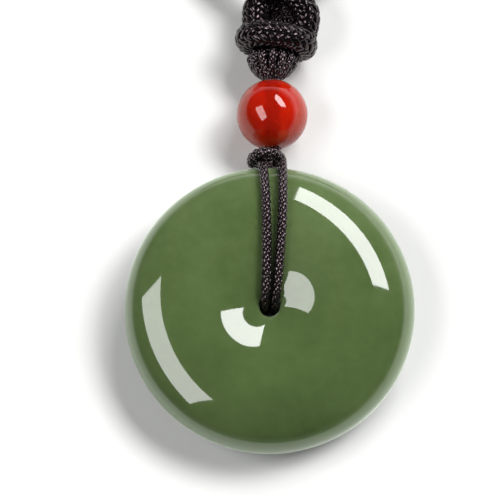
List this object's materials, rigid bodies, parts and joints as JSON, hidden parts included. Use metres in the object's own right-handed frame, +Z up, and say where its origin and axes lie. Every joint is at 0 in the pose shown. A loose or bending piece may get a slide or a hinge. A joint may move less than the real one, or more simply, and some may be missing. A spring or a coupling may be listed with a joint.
{
  "type": "jade disc pendant on a neck cord",
  "caption": "Round green jade disc with a small central hole, hung by thin black cord loops from a knot, a red agate bead and a whole braided neck cord.",
  "frame": {"origin": "middle of the lying pendant's footprint, neck cord included, on the surface that it lies on", "axes": "+Y along the pendant from the disc to the back of the neck cord, +Z up off the surface and out of the disc's front, +X to the right when the disc is seen from above with the knots up"},
  "size_m": [0.1463, 0.2998, 0.0132],
  "materials": {
    "green_jade": "polished, slightly translucent olive green nephrite with faint clouds",
    "red_agate": "polished translucent orange-red agate",
    "thin_cord": "fine black satin braid, about 1.3 mm",
    "thick_cord": "thick black satin braid, about 4 mm"
  },
  "bodies": {
    "root": {"jade_disc": "green_jade", "pendant_cord_left": "thin_cord", "pendant_cord_right": "thin_cord", "small_knot": "thin_cord", "agate_bead": "red_agate", "bead_strands": "thin_cord", "gathered_strands": "thin_cord", "knot_band": "thick_cord", "neck_cord_left": "thick_cord", "neck_cord_right": "thick_cord", "closing_knot": "thick_cord"}
  },
  "joints": []
}
